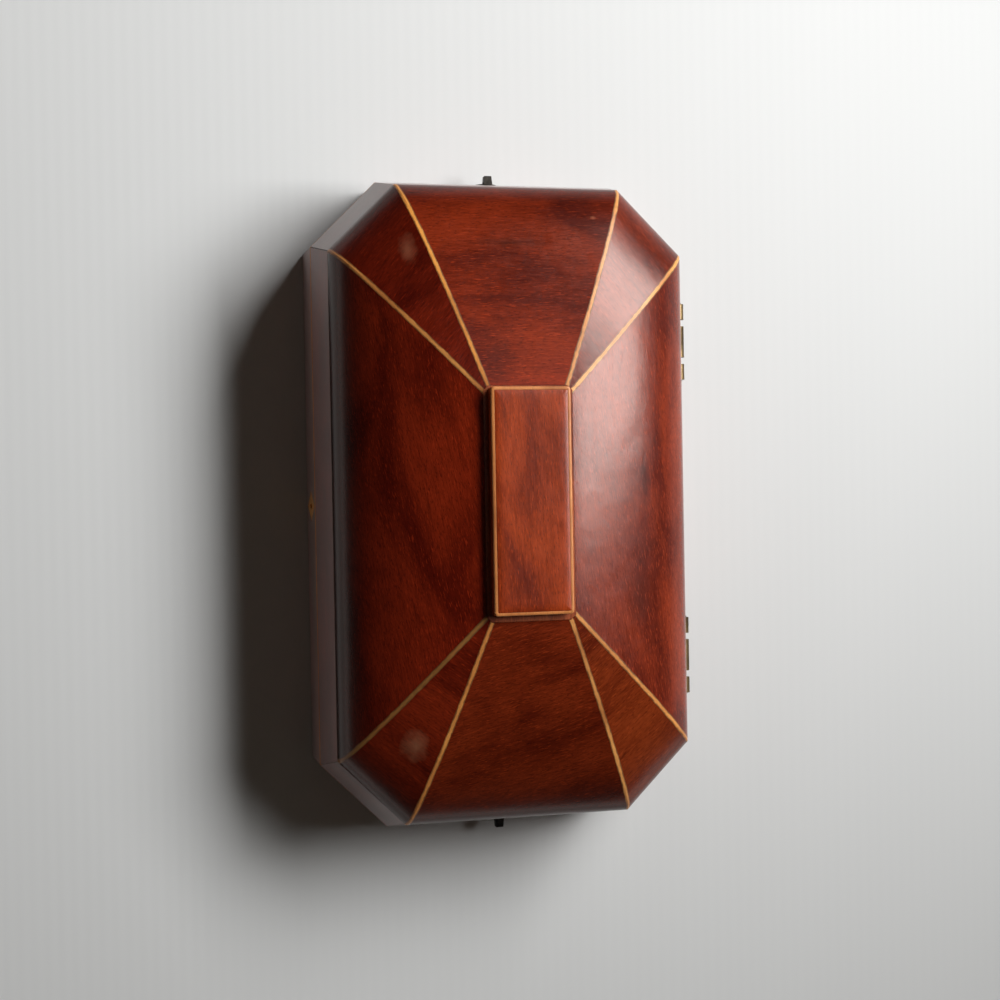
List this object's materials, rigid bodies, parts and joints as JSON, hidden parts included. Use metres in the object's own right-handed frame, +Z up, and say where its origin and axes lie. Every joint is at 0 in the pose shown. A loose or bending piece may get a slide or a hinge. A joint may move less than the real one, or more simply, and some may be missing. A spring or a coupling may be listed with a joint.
{
  "type": "octagonal jewelry box",
  "caption": "Octagonal wooden jewelry box: shallow canted-corner case, hinged domed lid with pale stringing and a raised tablet, front lock, drop rings on the ends.",
  "frame": {"origin": "centre of the case's flat underside", "axes": "+Z up, -Y towards the front with the keyhole, +Y towards the hinges, +X towards the right end"},
  "size_m": [0.3236, 0.1876, 0.0895],
  "materials": {
    "case_wood": "reddish-brown hardwood, polished to a soft gloss",
    "tablet_wood": "lighter reddish-brown hardwood, polished",
    "inner_wood": "plain planed wood, unpolished",
    "stringing": "pale close-grained wood, polished flush",
    "baize": "short-napped cloth over a thin pad",
    "brass": "aged, dull brass",
    "steel": "plain drawn steel",
    "black_iron": "blackened iron"
  },
  "bodies": {
    "case": {"base_board": "inner_wood", "floor_pad": "baize", "front_wall": "case_wood", "front_right_wall": "case_wood", "right_end_wall": "case_wood", "back_right_wall": "case_wood", "back_wall": "case_wood", "back_left_wall": "case_wood", "left_end_wall": "case_wood", "front_left_wall": "case_wood", "rim_stringing": "stringing", "keyhole_plate": "stringing", "lock_case": "brass", "left_hinge_lower_leaf": "brass", "right_hinge_lower_leaf": "brass", "left_hinge_pin": "steel", "right_hinge_pin": "steel", "lower_hinge_screw_1": "brass", "lower_hinge_screw_2": "brass", "lower_hinge_screw_3": "brass", "lower_hinge_screw_4": "brass", "left_ring_post": "black_iron", "right_ring_post": "black_iron"},
    "lid": {"front_lid_band": "case_wood", "front_right_lid_band": "case_wood", "right_end_lid_band": "case_wood", "back_right_lid_band": "case_wood", "back_lid_band": "case_wood", "back_left_lid_band": "case_wood", "left_end_lid_band": "case_wood", "front_left_lid_band": "case_wood", "front_dome_panel": "case_wood", "front_right_dome_panel": "case_wood", "right_end_dome_panel": "case_wood", "back_right_dome_panel": "case_wood", "back_dome_panel": "case_wood", "back_left_dome_panel": "case_wood", "left_end_dome_panel": "case_wood", "front_left_dome_panel": "case_wood", "hip_stringing_1": "stringing", "hip_stringing_2": "stringing", "hip_stringing_3": "stringing", "hip_stringing_4": "stringing", "hip_stringing_5": "stringing", "hip_stringing_6": "stringing", "hip_stringing_7": "stringing", "hip_stringing_8": "stringing", "crown_board": "case_wood", "tablet": "tablet_wood", "tablet_stringing": "stringing", "link_plate": "brass", "left_hinge_upper_leaf": "brass", "right_hinge_upper_leaf": "brass", "upper_hinge_screw_1": "brass", "upper_hinge_screw_2": "brass", "upper_hinge_screw_3": "brass", "upper_hinge_screw_4": "brass"},
    "left_ring": {"left_drop_ring": "black_iron"},
    "right_ring": {"right_drop_ring": "black_iron"},
    "bolt": {"lock_bolt": "steel"}
  },
  "joints": [
    {"name": "lid_hinge", "type": "hinge", "parent": "case", "child": "lid", "pos_m": [0, 0.0941, 0.0282], "axis": [-1, 0, 0], "range_deg": [0, 100]},
    {"name": "left_ring_swing", "type": "hinge", "parent": "case", "child": "left_ring", "pos_m": [-0.1574, 0, 0.014], "axis": [0, 1, 0], "range_deg": [-5, 170]},
    {"name": "right_ring_swing", "type": "hinge", "parent": "case", "child": "right_ring", "pos_m": [0.1574, 0, 0.014], "axis": [0, -1, 0], "range_deg": [-5, 170]},
    {"name": "lock_bolt_slide", "type": "slide", "parent": "case", "child": "bolt", "axis": [1, 0, 0], "range_m": [0, 0.0046]}
  ]
}
